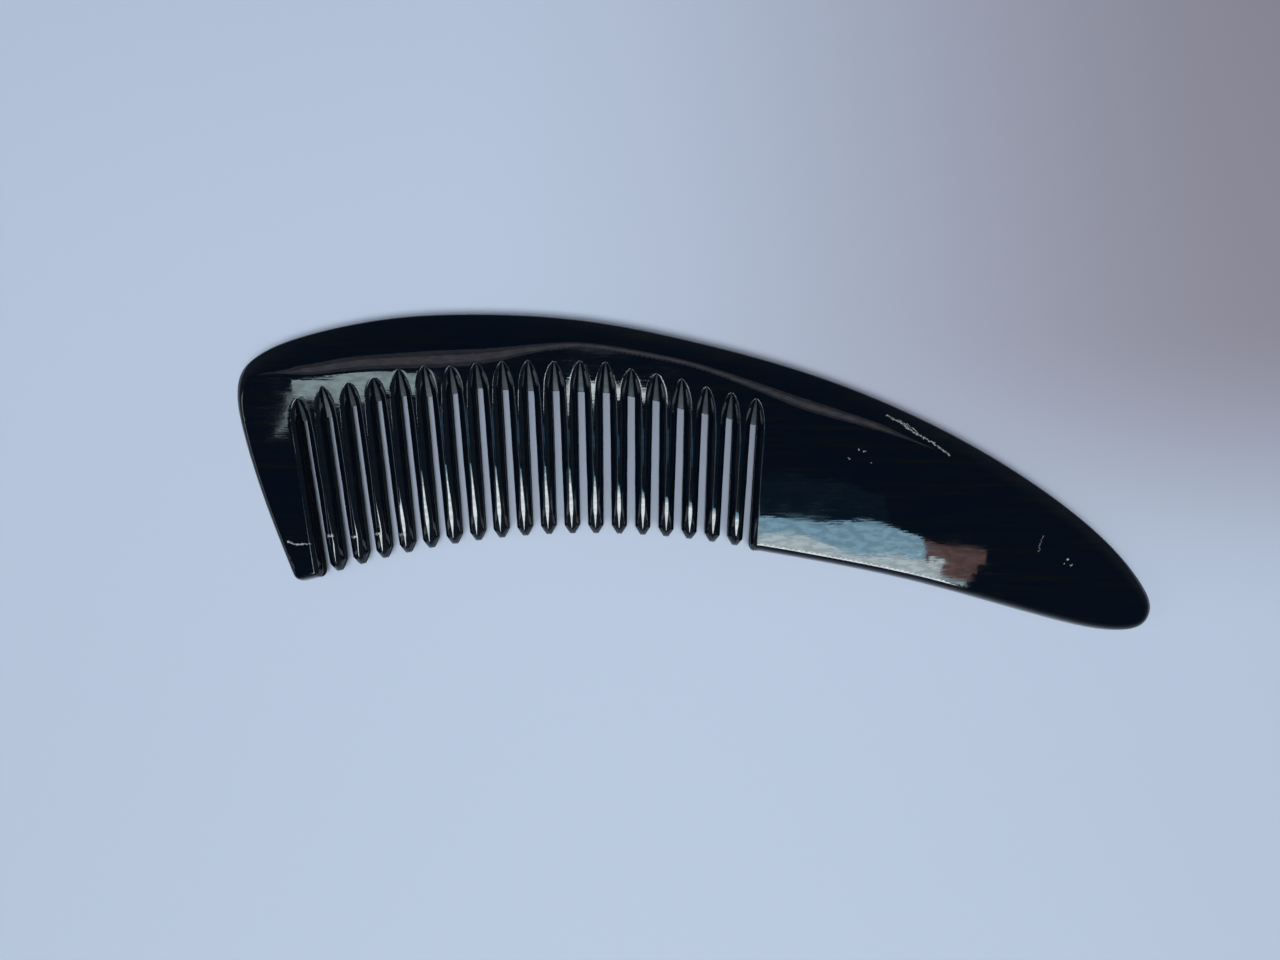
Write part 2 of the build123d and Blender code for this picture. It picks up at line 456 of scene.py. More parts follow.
thin_starts = [0.80, 0.74, 0.64, 0.60, 0.50, 0.46, 0.46, 0.50, 0.52]  # where each tooth begins to thin
thin_starts += [0.50, 0.54, 0.60, 0.66, 0.69, 0.71, 0.73, 0.76, 0.78]
tip_thinning = 0.34  # share of its thickness that a tooth loses by its tip


def thin_teeth(sheet):
    """Thins each tooth towards its tip, in a curve that starts where the maker's wheel came down."""
    points, faces, numbers = sheet
    for number, (a, b) in enumerate(neighbours, 1):
        own = numbers == number
        root, tip = (a.end + b.end) / 2, (a.foot + b.foot) / 2
        way = tip - root
        along = (points[own, :2] - root) @ way / (way @ way)
        start = thin_starts[number - 1]
        past = np.clip((along - start) / (1 - start), 0, 1)
        points[own, 2] *= 1 - tip_thinning * past**1.7
    return points, faces, numbers


neighbours = list(zip(gaps[:-1], gaps[1:]))
teeth = lay_pattern("teeth", tooth_rows, [(a.end, b.end, a.foot, b.foot) for a, b in neighbours], 0.16)
teeth = thin_teeth(teeth)
arches = lay_pattern("arches", arch_rows, [(a.point, b.point, a.end, b.end) for a, b in neighbours], 0.0)

# %% [markdown]
# ## The outer flanks of the row
#
# The first gap also eases the end guard and the last gap eases the handle. These two flanks use the
# same section, but run on to the lower edge and turn round its corner.

# %% The flank on the guard and the one on the handle
guard_corner, handle_edge_corner = (1.15, 2.1), (1.1, 1.6)  # width and height of the rounded lower corner


def flank(gap, side, foot_y, corner):
    """Grid of points beside one gap, from its arch to the lower edge: rows of (x, y, height)."""
    foot = gap.at_height(foot_y)
    length = np.linalg.norm(foot - gap.end)
    rows = []
    for along in arch_rows + tooth_rows[1:]:
        half = half_section(min(along, 0.0))[: rim_column + 1]
        way = gap.end - gap.point if along <= 0 else foot - gap.end
        middle = gap.end + way * along
        left_over = (1 - max(along, 0.0)) * length
        turn = max(0.0, 1 - left_over / corner[1])
        pull = corner[0] * (1 - math.sqrt(max(0.0, 1 - turn**2)))
        aside = half[:, 0] + pull * (half[-1, 0] - half[:, 0]) / max(half[-1, 0] - half[floor_steps, 0], 1e-9)
        if along > 0:
            half, aside = half[floor_steps:], aside[floor_steps:]
        rows.append([(*(middle + gap.right * side * u), h) for u, h in zip(aside, half[:, 1])])
    return rows


guard_flank = flank(gaps[0], -1, -22.05, guard_corner)
handle_flank = flank(gaps[-1], 1, -16.65, handle_edge_corner)
print("flank rows", len(guard_flank))

# %% [markdown]
# ## The blank and its rolled edges
#
# Before any gap is cut, the blank is a plate whose edges are rolled over by grinding and polishing:
# widely along the spine, tightly under the handle. A bevel modifier gives one radius all round, and
# a subdivision cage is hard to keep on the measured outline. Here the height of the face is worked
# out from the distance to the nearest edge, with a roll as wide there as the maker left it.

# %% Height of the face over mid-thickness, anywhere on the blank
outline[0] = guard_flank[-1][-1][:2]
outline[-1] = handle_flank[-1][-1][:2]
guard_end = np.array([p[:2] for p in guard_flank[-1]])[:-1]
handle_end = np.array([p[:2] for p in handle_flank[-1]])[:-1][::-1]
edge_line = np.concatenate([guard_end, outline, handle_end])
edge_roll = np.pad(roll_widths, (len(guard_end), len(handle_end)), mode="edge")
hand_waves = np.random.default_rng(11)
wave_count, wave_depth = 7, 0.012
wave_length = hand_waves.uniform(14, 34, wave_count)
wave_turn = hand_waves.uniform(0, math.pi, wave_count)
wave_start = hand_waves.uniform(0, 2 * math.pi, wave_count)


edge_way = np.gradient(edge_line, axis=0)
edge_way = np.stack([edge_way[:, 1], -edge_way[:, 0]], axis=1)
edge_way /= np.linalg.norm(edge_way, axis=1)[:, None]  # points into the horn


def search_tree(points):
    """A search tree over points with two or three coordinates."""
    tree = kdtree.KDTree(len(points))
    for k, point in enumerate(points):
        tree.insert((*point, 0)[:3], k)
    tree.balance()
    return tree


def edge_distance(places):
    """Distance of each (x, y) from the edge, the roll at the nearest edge and the way in from it."""
    fine = np.concatenate([edge_line[:-1] + np.diff(edge_line, axis=0) * s for s in (0, 0.25, 0.5, 0.75)])
    fine_roll = np.concatenate([edge_roll[:-1] + np.diff(edge_roll) * s for s in (0, 0.25, 0.5, 0.75)])
    owner = np.tile(np.arange(len(edge_line) - 1), 4)
    tree = search_tree(fine)
    near = np.array([tree.find((x, y, 0))[1] for x, y in places])
    best, way = np.full(len(places), 1e9), np.zeros((len(places), 2))
    for shift in (-1, 0, 1):
        k = np.clip(owner[near] + shift, 0, len(edge_line) - 2)
        a, b = edge_line[k], edge_line[k + 1]
        span = b - a
        share = np.clip(((places - a) * span).sum(1) / np.maximum((span**2).sum(1), 1e-12), 0, 1)[:, None]
        distance = np.linalg.norm(places - a - span * share, axis=1)
        nearer = distance < best
        best[nearer] = distance[nearer]
        way[nearer] = (edge_way[k] * (1 - share) + edge_way[k + 1] * share)[nearer]
    return best, fine_roll[near], way


handle_lean = 0.10  # how far the handle's face falls away towards its lower edge


def spine_line(x):
    """Height of the middle of the handle, above which its face stays level."""
    return 3.5 - 0.42 * (x - 12)


def plate_height(places, away):
    """Height of the face before its edge is rolled: hand-polished waves, and a lean on the handle."""
    waves = np.zeros(len(places))
    for length, turn, start in zip(wave_length, wave_turn, wave_start):
        reach = places[:, 0] * math.cos(turn) + places[:, 1] * math.sin(turn)
        waves += 0.5 - 0.5 * np.sin(reach * 2 * math.pi / length + start)
    on_handle = np.clip((places[:, 0] - 12) / 12, 0, 1)
    low_side = np.clip((spine_line(places[:, 0]) - places[:, 1]) / 6, 0, 1)
    lean = handle_lean * on_handle * low_side * np.clip(1 - away / 13, 0, 1) ** 2
    return half_thick - wave_depth * waves - lean


edge_share = 0.45  # height of the face at the start of the edge's own small round
edge_round = 0.6  # width of that round


def face_shape(places):
    """Height of the polished face at each (x, y), before any gap is cut, and its slope in x and y."""
    places = np.asarray(places, float)
    away, roll, way = edge_distance(places)
    from_flat = 1 - np.clip(away / roll, 0, 1)
    from_side = 1 - np.clip(away / edge_round, 0, 1)
    dome = 1 - (1 - edge_share) * from_flat**2
    turn = np.sqrt(np.clip(1 - from_side**2, 0, 1))
    rolled = dome * turn
    plate = plate_height(places, away)
    step = 0.01
    slope = (plate_height(places, away + step) - plate)[:, None] / step * way
    for axis in (0, 1):
        moved = places.copy()
        moved[:, axis] += step
        slope[:, axis] += (plate_height(moved, away) - plate) / step
    steepness = 2 * (1 - edge_share) * from_flat / roll * turn
    steepness += dome * from_side / np.maximum(turn, 0.02) / edge_round
    return rolled * plate, slope * rolled[:, None] + (plate * steepness)[:, None] * way


def face_height(places):
    """Height of the polished face at each (x, y)."""
    return face_shape(places)[0]


# %% [markdown]
# ## The plain faces
#
# Spine, handle and guard have no pattern, only the blank's own face. A constrained triangulation
# fills the space between the outline and the carved row. Its points lie on rings that crowd
# together where the edge rolls over, so the roll is smooth and the flat parts stay light.

# %% Points for the plain faces
arch_columns = 2 * section_size - 1


def top_row(number):
    """The crest points of one arch's uppermost row, from left to right."""
    block = arches[0][arches[2] == number]
    row = block[:arch_columns]
    return row[section_size - 1 - crest_steps - corner_steps : section_size + crest_steps + corner_steps, :2]


def distinct(points, least=1e-3):
    """The points without any that repeat the one before."""
    kept = [points[0]]
    for p in points[1:]:
        if np.linalg.norm(p - kept[-1]) > least:
            kept.append(p)
    return np.array(kept)


guard_rim = np.array([row[-1][:2] for row in guard_flank])[::-1]  # from the lower edge up to the arch
handle_rim = np.array([row[-1][:2] for row in handle_flank])
crest_line = np.concatenate([top_row(number) for number in range(1, tooth_count + 1)])
inner = distinct(np.concatenate([guard_rim[:-1], crest_line, handle_rim[1:]]))
loop = np.concatenate([outline[1:-1], inner[::-1]])


def is_inside(places, polygon):
    """True for each place inside a closed polygon."""
    x, y = places[:, :1], places[:, 1:]
    a, b = polygon, np.roll(polygon, -1, axis=0)
    crosses = (a[:, 1] > y) != (b[:, 1] > y)
    rise = np.where(b[:, 1] == a[:, 1], 1e-12, b[:, 1] - a[:, 1])
    return (crosses & (x < (b[:, 0] - a[:, 0]) * (y - a[:, 1]) / rise + a[:, 0])).sum(1) % 2 == 1


def clear_of(places, others, least):
    """True for each place at least so far from every one of the others."""
    tree = search_tree(others)
    return np.array([tree.find((x, y, 0))[2] >= least for x, y in places])


def nearest_edge_point(place):
    """Index of the outline point nearest to a place."""
    return int(np.argmin(np.linalg.norm(outline - place, axis=1)))


def seam_points(start, stop):
    """Points along a straight cut between two regions, closer together at the rolled edge."""
    length = np.linalg.norm(stop - start)
    near_edge = length - np.array([2.0, 1.3, 0.8, 0.45, 0.2, 0.06])
    marks = np.concatenate([np.arange(0.8, length - 2.4, 0.8), near_edge])
    return start + (stop - start) * (marks / length)[:, None]


guard_seam_start = guard_flank[len(arch_rows) - 1][-1][:2]
guard_seam_stop = outline[nearest_edge_point(np.array([outline[:, 0].min(), guard_seam_start[1]]))]
handle_seam_start = gaps[-1].point
handle_seam_stop = outline[nearest_edge_point(gaps[-1].at_height(24.6))]
seams = [
    np.concatenate([[a], seam_points(np.array(a), np.array(b)), [b]])
    for a, b in ((guard_seam_start, guard_seam_stop), (handle_seam_start, handle_seam_stop))
]

inward_way = edge_way[len(guard_end) : len(guard_end) + len(outline)]
rings = []
ring_turns = (10, 22, 35, 50, 65, 80, 90)
ring_places = [(0.0, edge_round * (1 - math.cos(math.radians(turn)))) for turn in ring_turns]
ring_places += [(share, 0.62 * (1 - share)) for share in (0.12, 0.25, 0.38, 0.51, 0.64, 0.76, 0.88, 1.0)]
for share, past in ring_places + [(1.0, 0.35), (1.0, 0.8)]:
    depth = roll_widths * share + past
    ring = (outline + inward_way * depth[:, None])[1:-1]
    true_depth = edge_distance(ring)[0]
    good = (true_depth > 0.985 * depth[1:-1]) & is_inside(ring, loop)
    rings.append(ring[good][:: 2 if share > 0.5 else 1])
step = 1.05
grid_x, grid_y = np.meshgrid(np.arange(low[0], high[0], step), np.arange(low[1], high[1], step * 0.87))
grid_x[1::2] += step / 2
field = np.stack([grid_x.ravel(), grid_y.ravel()], axis=1)
field = field[is_inside(field, loop)]
away, roll, _ = edge_distance(field)
field = field[away > roll + 1.2]
free = np.concatenate(rings)
free = free[clear_of(free, inner, 0.3)]
field = field[clear_of(field, np.concatenate([inner, free]), 0.5)]
free = np.concatenate([free, field])
free = free[clear_of(free, np.concatenate(seams), 0.32)]
print("free points", len(free))

# %% Triangulate them and sort the triangles into regions
corners = np.concatenate([loop, free] + [seam[1:-1] for seam in seams])
edges, first = [], len(loop) + len(free)
for seam in seams:
    ids = list(range(first, first + len(seam) - 2))
    ends = [int(np.argmin(np.linalg.norm(loop - p, axis=1))) for p in (seam[0], seam[-1])]
    chain = [ends[0]] + ids + [ends[1]]
    edges += list(zip(chain[:-1], chain[1:]))
    first += len(seam) - 2
filled = delaunay_2d_cdt([Vector(p) for p in corners], edges, [list(range(len(loop)))], 1, 1e-6)
plain_points = np.array([tuple(p) for p in filled[0]])
plain_faces = [tuple(face) for face in filled[2]]
print("plain triangles", len(plain_faces))


def side_of(place, start, stop):
    """Positive to the left of the line from start to stop."""
    return (stop[0] - start[0]) * (place[1] - start[1]) - (stop[1] - start[1]) * (place[0] - start[0])


def region_of(place):
    """The region of the comb that a place on the plain faces belongs to."""
    if place[0] > 0 and side_of(place, seams[1][0], seams[1][-1]) < 0:
        return "handle"
    if place[0] < gaps[0].end[0] and side_of(place, seams[0][0], seams[0][-1]) > 0:
        return "end_guard"
    return "spine"


# %% [markdown]
# ## Putting the regions together
#
# Every region is an upper face so far. The comb is the same on both faces, so each gets a mirrored
# lower face, and a plain wall closes it where it was parted from its neighbour. The polish runs
# over those partings without a mark, so the normals are worked out on the whole comb first, and
# each piece keeps the ones at its own points.

# %% Gather the upper faces of every region
upper = {name: [] for name in ["spine", "handle", "end_guard"]}


def add_faces(name, points, faces):
    """Adds faces to a region, with the block of points that they index."""
    upper.setdefault(name, []).append((points, faces))


def add_copies(sheet, name_of):
    """Adds each laid copy to its region, with the blank's own height under it."""
    points, faces, numbers = sheet
    points = points.copy()
    points[:, 2] *= face_height(points[:, :2]) / half_thick
    sorted_faces = {}
    for face in faces:
        sorted_faces.setdefault(name_of(numbers[face[0]]), []).append(face)
    for name, members in sorted_faces.items():
        add_faces(name, points, members)


def add_flank(rows, name_of):
    """Adds the faces beside an outer gap, row by row."""
    flat = [np.array(row) for row in rows]
    starts = np.concatenate([[0], np.cumsum([len(row) for row in flat])])
    points = np.concatenate(flat)
    points[:, 2] *= face_height(points[:, :2]) / half_thick
    for r in range(len(flat) - 1):
        skip = len(flat[r]) - len(flat[r + 1])
        a, b = starts[r] + skip, starts[r + 1]
        quads = [(a + c, b + c, b + c + 1, a + c + 1) for c in range(len(flat[r + 1]) - 1)]
        add_faces(name_of(r), points, quads)


add_copies(teeth, lambda number: f"tooth_{number:02d}")
add_copies(arches, lambda number: "spine")
add_flank(guard_flank, lambda r: "spine" if r < len(arch_rows) - 1 else "end_guard")
add_flank(handle_flank, lambda r: "handle")
plain_height, plain_slope = face_shape(plain_points)
plain = np.column_stack([plain_points, plain_height])
for face in plain_faces:
    add_faces(region_of(plain_points[list(face)].mean(0)), plain, [face])

# %% Weld them into one face and work out its normals
def weld(places, reach):
    """The index of the first point within reach of each point."""
    tree = search_tree(places)
    owner = np.full(len(places), -1)
    for k, p in enumerate(places):
        if owner[k] < 0:
            for _, other, _ in tree.find_range(p, reach):
                if owner[other] < 0:
                    owner[other] = k
    return owner


def without_repeats(ring):
    """The corners of a face without any that repeat the one before."""
    return [k for k, before in zip(ring, ring[-1:] + ring[:-1]) if k != before]


blocks, offsets, total = {}, {}, 0
for parts in upper.values():
    for points, _ in parts:
        if id(points) not in offsets:
            offsets[id(points)] = total
            blocks[id(points)] = points
            total += len(points)
every_point = np.concatenate(list(blocks.values()))
weld_reach = 0.002  # points closer than this are one, and heights below it are the middle
every_point[np.abs(every_point[:, 2]) < weld_reach, 2] = 0.0
owner = weld(every_point, weld_reach)
region_faces = {}
for name, parts in upper.items():
    faces = set()
    for points, members in parts:
        shift = offsets[id(points)]
        for face in members:
            ring = [int(owner[shift + k]) for k in face]
            ring = without_repeats(ring)
            if len(set(ring)) < 3:
                continue
            shape = every_point[ring]
            turned = np.roll(shape, -1, axis=0)
            if (shape[:, 0] * turned[:, 1] - shape[:, 1] * turned[:, 0]).sum() < 0:
                ring.reverse()
            first_place = ring.index(min(ring))
            faces.add(tuple(ring[first_place:] + ring[:first_place]))
    region_faces[name] = sorted(faces)
normals = np.zeros_like(every_point)
for faces in region_faces.values():
    for face in faces:
        shape = every_point[list(face)]
        area = np.cross(shape[1] - shape[0], shape[2] - shape[0])
        if len(face) == 4:
            area = area + np.cross(shape[2] - shape[0], shape[3] - shape[0])
        normals[list(face)] += area
shift = offsets[id(plain)]
off_rim = clear_of(plain_points, inner, 0.01)
flat_there = off_rim | ~clear_of(plain_points, crest_line, 0.01)
for k, is_flat in enumerate(flat_there):
    if is_flat and plain_height[k] > 0.02:
        normals[owner[shift + k]] = (-plain_slope[k][0], -plain_slope[k][1], 1)
on_edge = every_point[:, 2] == 0
normals[on_edge, 2] = 0
normals /= np.maximum(np.linalg.norm(normals, axis=1), 1e-12)[:, None]
print("regions", len(region_faces), "upper faces", sum(map(len, region_faces.values())))

# %% One closed piece for each region
def is_sawn_wall(face):
    """True for a face that stands upright, as the saw left it."""
    return abs(face.normal.z) < 0.03


def is_arch_floor(face):
    """True for a face that slopes down an arch towards the end of its cut."""
    return face.normal.y < -0.12 and abs(face.normal.x) < 0.3 and face.center.y > 9 * METRE


def closed_piece(name, faces):
    """A solid of one region: upper face, mirrored lower face and the wall at each parting."""
    used = sorted({k for face in faces for k in face})
    upper_id = {k: n for n, k in enumerate(used)}
    lower_id, places, point_normals = {}, [], []
    for k in used:
        x, y, z = every_point[k]
        places.append((x, y, z + half_thick))
        point_normals.append(normals[k])
    for k in used:
        x, y, z = every_point[k]
        if z == 0:
            lower_id[k] = upper_id[k]
        else:
            lower_id[k] = len(places)
            places.append((x, y, half_thick - z))
            point_normals.append(normals[k] * (1, 1, -1))
    shown, corner_normals, open_edges = [], [], {}
    for face in faces:
        top = [upper_id[k] for k in face]
        under = [lower_id[k] for k in reversed(face)]
        for ring in (top, under):
            shown.append(ring)
            corner_normals += [point_normals[k] for k in ring]
        for a, b in zip(face, face[1:] + face[:1]):
            if (b, a) in open_edges:
                del open_edges[b, a]
            else:
                open_edges[a, b] = True
    for a, b in open_edges:
        if every_point[a][2] == 0 and every_point[b][2] == 0:
            continue
        ring = [upper_id[b], upper_id[a], lower_id[a], lower_id[b]]
        ring = without_repeats(ring)
        shown.append(ring)
        along = every_point[b] - every_point[a]
        outwards = np.array([along[1], -along[0], 0]) / max(np.hypot(along[0], along[1]), 1e-9)
        corner_normals += [outwards] * len(ring)
    mesh = bpy.data.meshes.new(name)
    mesh.from_pydata([tuple(c * METRE for c in p) for p in places], [], shown)
    mesh.polygons.foreach_set("use_smooth", [True] * len(shown))
    for finish, test in (("sawn", is_sawn_wall), ("ground", is_arch_floor)):
        marked = mesh.attributes.new(finish, "FLOAT", "FACE")
        marked.data.foreach_set("value", [float(test(face)) for face in mesh.polygons])
    mesh.normals_split_custom_set([tuple(n) for n in corner_normals])
    mesh.materials.append(horn)
    piece = bpy.data.objects.new(name, mesh)
    bpy.context.scene.collection.objects.link(piece)
    return piece


for node, faces in sorted(region_faces.items()):
    piece = closed_piece(node + "_carved", faces)
    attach(piece, "root")
    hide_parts(node)
print("pieces", len(region_faces))

# %% [markdown]
# ## Polished horn
#
# Buffalo horn is nearly black with a cold blue cast, and fine fibres run along it. Polished, it is as
# glossy as lacquer, with faint smears and hair scratches. Everything here is worked out from the
# piece's own coordinates, so it stays with the comb whichever way it is seen.

# %% Small helpers for the horn's nodes
nodes, links = horn.node_tree.nodes, horn.node_tree.links
shader = nodes["Principled BSDF"]


def add_node(kind, inputs=(), **settings):
    """A node of the horn with its settings and its inputs, which are values or other outputs."""
    made = nodes.new(kind)
    for key, value in settings.items():
        setattr(made, key, value)
    for socket, value in dict(inputs).items():
        if isinstance(value, bpy.types.NodeSocket):
            links.new(value, made.inputs[socket])
        else:
            made.inputs[socket].default_value = value
    return made


def calculate(operation, a, b=0.0, clamp=False):
    """One sum on two values."""
    return add_node("ShaderNodeMath", {0: a, 1: b}, operation=operation, use_clamp=clamp).outputs[0]


def ramp(value, low, high, from_low=0.0, from_high=1.0):
    """A value moved smoothly from one range to another."""
    inputs = {0: value, 1: from_low, 2: from_high, 3: low, 4: high}
    return add_node("ShaderNodeMapRange", inputs, interpolation_type="SMOOTHSTEP").outputs[0]


def blend(share, a, b):
    """A colour between two others."""
    return add_node("ShaderNodeMix", {0: share, 6: a, 7: b}, data_type="RGBA").outputs[2]


own_place = add_node("ShaderNodeTexCoord").outputs["Object"]
place_mm = add_node("ShaderNodeMapping", {0: own_place, 3: (1000, 1000, 1000)}).outputs[0]


def cloud(scale, detail=2.0, turn=0.0, stretch=(1, 1, 1)):
    """Noise on the piece's own millimetres, if need be drawn out along one direction."""
    moved = add_node("ShaderNodeMapping", {0: place_mm, 2: (0, 0, turn), 3: stretch}).outputs[0]
    return add_node("ShaderNodeTexNoise", {"Vector": moved, "Scale": scale, "Detail": detail}).outputs[0]


# %% [markdown]
# The flaws are a few real ones: a pale crack where the horn has begun to split, a hairline across
# the guard, nicks on the first teeth and some pinholes. Each is a short run of straight strokes
# whose edge is roughened by noise.

# %% Cracks, hairlines and nicks
crack = [(40.6, 11.9), (43.8, 10.1), (46.6, 8.0), (50.1, 6.1), (53.6, 3.5)]
crack_branch = [(43.2, 10.9), (46.0, 9.2), (48.2, 6.9)]
guard_hairline = [(-85.0, -14.6), (-83.2, -15.2), (-80.4, -15.1)]
tip_hairline = [(73.3, -13.4), (72.6, -15.0), (72.2, -16.6)]
nicks = [(-76.3, -13.5), (-71.4, -13.7), (-66.4, -13.1), (-61.3, -13.2)]
pinholes = [(35.7, 4.2), (37.0, 1.9), (32.4, 2.7), (34.6, 4.7)]
pinholes += [(78.3, -18.4), (77.4, -19.2), (78.9, -19.6)]
shake = add_node("ShaderNodeTexNoise", {"Vector": place_mm, "Scale": 1.7, "Detail": 3.0}).outputs["Color"]
shake = add_node("ShaderNodeVectorMath", {0: shake, 1: (0.5, 0.5, 0.5)}, operation="SUBTRACT").outputs[0]
shake = add_node("ShaderNodeVectorMath", {0: shake, "Scale": 1.1}, operation="SCALE").outputs[0]
shaken = add_node("ShaderNodeVectorMath", {0: place_mm, 1: shake}, operation="ADD").outputs[0]
shaken = add_node("ShaderNodeVectorMath", {0: shaken, 1: (1, 1, 0)}, operation="MULTIPLY").outputs[0]


def stroke_mask(start, stop, width):
    """1 on a straight stroke across the face, falling to 0 at its ragged edge."""
    a, b = Vector((*start, 0)), Vector((*stop, 0))
    span = b - a
    out = add_node("ShaderNodeVectorMath", {0: shaken, 1: a}, operation="SUBTRACT").outputs[0]
    unit = span / span.length_squared
    reach = add_node("ShaderNodeVectorMath", {0: out, 1: unit}, operation="DOT_PRODUCT").outputs[1]
    reach = calculate("ADD", reach, 0.0, clamp=True)
    foot = add_node("ShaderNodeVectorMath", {0: span, "Scale": reach}, operation="SCALE").outputs[0]
    away = add_node("ShaderNodeVectorMath", {0: out, 1: foot}, operation="DISTANCE").outputs[1]
    return ramp(away, 1.0, 0.0, width * 0.25, width)


def line_mask(points, width):
    """The strongest of the strokes of one line."""
    strokes = [stroke_mask(a, b, width) for a, b in zip(points[:-1], points[1:])]
    strongest = strokes[0]
    for other in strokes[1:]:
        strongest = calculate("MAXIMUM", strongest, other)
    return strongest


marks = [line_mask(crack, 0.22), line_mask(crack_branch, 0.14), line_mask(guard_hairline, 0.24)]
marks.append(calculate("MULTIPLY", line_mask(tip_hairline, 0.16), 0.35))
marks += [line_mask([(x - 0.5, y), (x + 0.6, y + 0.1)], 0.34) for x, y in nicks]
marks += [line_mask([(x, y), (x + 0.15, y + 0.05)], 0.2) for x, y in pinholes]
flaw = marks[0]
for other in marks[1:]:
    flaw = calculate("MAXIMUM", flaw, other)
height_mm = add_node("ShaderNodeSeparateXYZ", {0: place_mm}).outputs[2]
on_upper_face = calculate("GREATER_THAN", height_mm, half_thick)
flaw = calculate("MULTIPLY", flaw, on_upper_face)
flaw = calculate("MULTIPLY", flaw, ramp(cloud(2.4, 4.0), 0.25, 1.0, 0.35, 0.55))

# %% Colour, gloss and the finest scratches of the horn
fibre = cloud(0.5, 3.0, turn=0.42, stretch=(0.10, 1.6, 1.0))
smear = cloud(0.11, 3.0, turn=0.3, stretch=(1.0, 1.8, 1.0))
scratches = cloud(1.6, 2.0, turn=0.15, stretch=(0.10, 1.6, 1.0))
cross_scratches = cloud(1.5, 2.0, turn=1.45, stretch=(0.16, 1.6, 1.0))
pores = cloud(2.2, 1.0)
black = blend(ramp(fibre, 0.0, 1.0, 0.45, 0.75), (0.0012, 0.0028, 0.0062, 1), (0.0032, 0.0036, 0.0048, 1))
coarse = ramp(cloud(3.0, 3.0, turn=1.5, stretch=(0.3, 1.5, 1.0)), 0.5, 1.0, 0.35, 0.65)
ground = add_node("ShaderNodeAttribute", attribute_name="ground").outputs["Fac"]
black = blend(calculate("MULTIPLY", ground, coarse), black, (0.020, 0.027, 0.032, 1))
links.new(blend(flaw, black, (0.24, 0.225, 0.21, 1)), shader.inputs["Base Color"])
sawn = add_node("ShaderNodeAttribute", attribute_name="sawn").outputs["Fac"]
gloss = calculate("ADD", ramp(smear, 0.012, 0.05, 0.35, 0.70), ramp(scratches, 0.0, 0.03, 0.5, 0.72))
gloss = calculate("ADD", gloss, calculate("MULTIPLY", flaw, 0.35))
gloss = calculate("ADD", gloss, calculate("MULTIPLY", ground, 0.30))
links.new(calculate("ADD", gloss, calculate("MULTIPLY", sawn, 0.55), clamp=True), shader.inputs["Roughness"])
smudge = ramp(cloud(0.8, 4.0, turn=0.35, stretch=(0.5, 1.3, 1.0)), 0.42, 0.56, 0.40, 0.60)
shine = calculate("MULTIPLY", smudge, ramp(sawn, 1.0, 0.1))
links.new(shine, shader.inputs["Specular IOR Level"])
relief = calculate("ADD", calculate("MULTIPLY", scratches, 0.7), calculate("MULTIPLY", cross_scratches, 0.4))
relief = calculate("ADD", relief, calculate("MULTIPLY", pores, 0.35))
swell = cloud(0.35, 2.0, turn=0.4, stretch=(0.6, 1.4, 1.0))
relief = calculate("ADD", relief, calculate("MULTIPLY", swell, 2.5))
relief = calculate("SUBTRACT", relief, calculate("MULTIPLY", flaw, 3.0))
bump = add_node("ShaderNodeBump", {"Height": relief, "Strength": 1.0, "Distance": 0.0000013}).outputs[0]
links.new(bump, shader.inputs["Normal"])
shader.inputs["IOR"].default_value = 1.52

# %% [markdown]
# ## Floor, light and camera
#
# A sheet of pale paper under soft studio light. A black, glossy thing shows little but what it
# reflects, so the window overhead is built of several panes, each with its own tint, and a few
# narrow lamps put the small bright patches where the polish would catch them.

# %% Floor, with painted light and shade on the paper
floor_mesh = bpy.data.meshes.new("floor")
floor_mesh.from_pydata([(-3, -3, 0), (3, -3, 0), (3, 3, 0), (-3, 3, 0)], [], [(0, 1, 2, 3)])
floor = bpy.data.objects.new("floor", floor_mesh)
bpy.context.scene.collection.objects.link(floor)
paper = bpy.data.materials.new("pale_paper")
paper.use_nodes = True
grounds, joins = paper.node_tree.nodes, paper.node_tree.links
spot = grounds.new("ShaderNodeSeparateXYZ")
joins.new(grounds.new("ShaderNodeTexCoord").outputs["Object"], spot.inputs[0])


def paper_fade(axis, start, stop):
    """0 to 1 between two places along one axis of the floor."""
    made = grounds.new("ShaderNodeMapRange")
    made.interpolation_type = "SMOOTHSTEP"
    made.inputs[1].default_value, made.inputs[2].default_value = start, stop
    joins.new(spot.outputs[axis], made.inputs[0])
    return made.outputs[0]


def paper_mix(share, a, b):
    """The paper's colour between two others, which here carry painted light and shade."""
    made = grounds.new("ShaderNodeMix")
    made.data_type = "RGBA"
    joins.new(share, made.inputs[0])
    for socket, paper_with_painted_shade in ((made.inputs[6], a), (made.inputs[7], b)):
        if isinstance(paper_with_painted_shade, tuple):
            socket.default_value = paper_with_painted_shade
        else:
            joins.new(paper_with_painted_shade, socket)
    return made.outputs[2]


# Painted shade: the paper is darkened to a grey mauve towards its +X, +Y corner.
corner = grounds.new("ShaderNodeMath")
corner.operation = "MULTIPLY"
joins.new(paper_fade("X", -0.055, 0.135), corner.inputs[0])
joins.new(paper_fade("Y", -0.035, 0.035), corner.inputs[1])
# Painted light: the paper is made lighter towards +Y and darker towards -Y.
even = paper_mix(paper_fade("Y", -0.11, 0.11), (0.362, 0.386, 0.462, 1), (0.408, 0.432, 0.525, 1))
paper_with_painted_shade = paper_mix(corner.outputs[0], even, (0.215, 0.185, 0.220, 1))
joins.new(paper_with_painted_shade, grounds["Principled BSDF"].inputs["Base Color"])
grounds["Principled BSDF"].inputs["Roughness"].default_value = 0.7
floor_mesh.materials.append(paper)

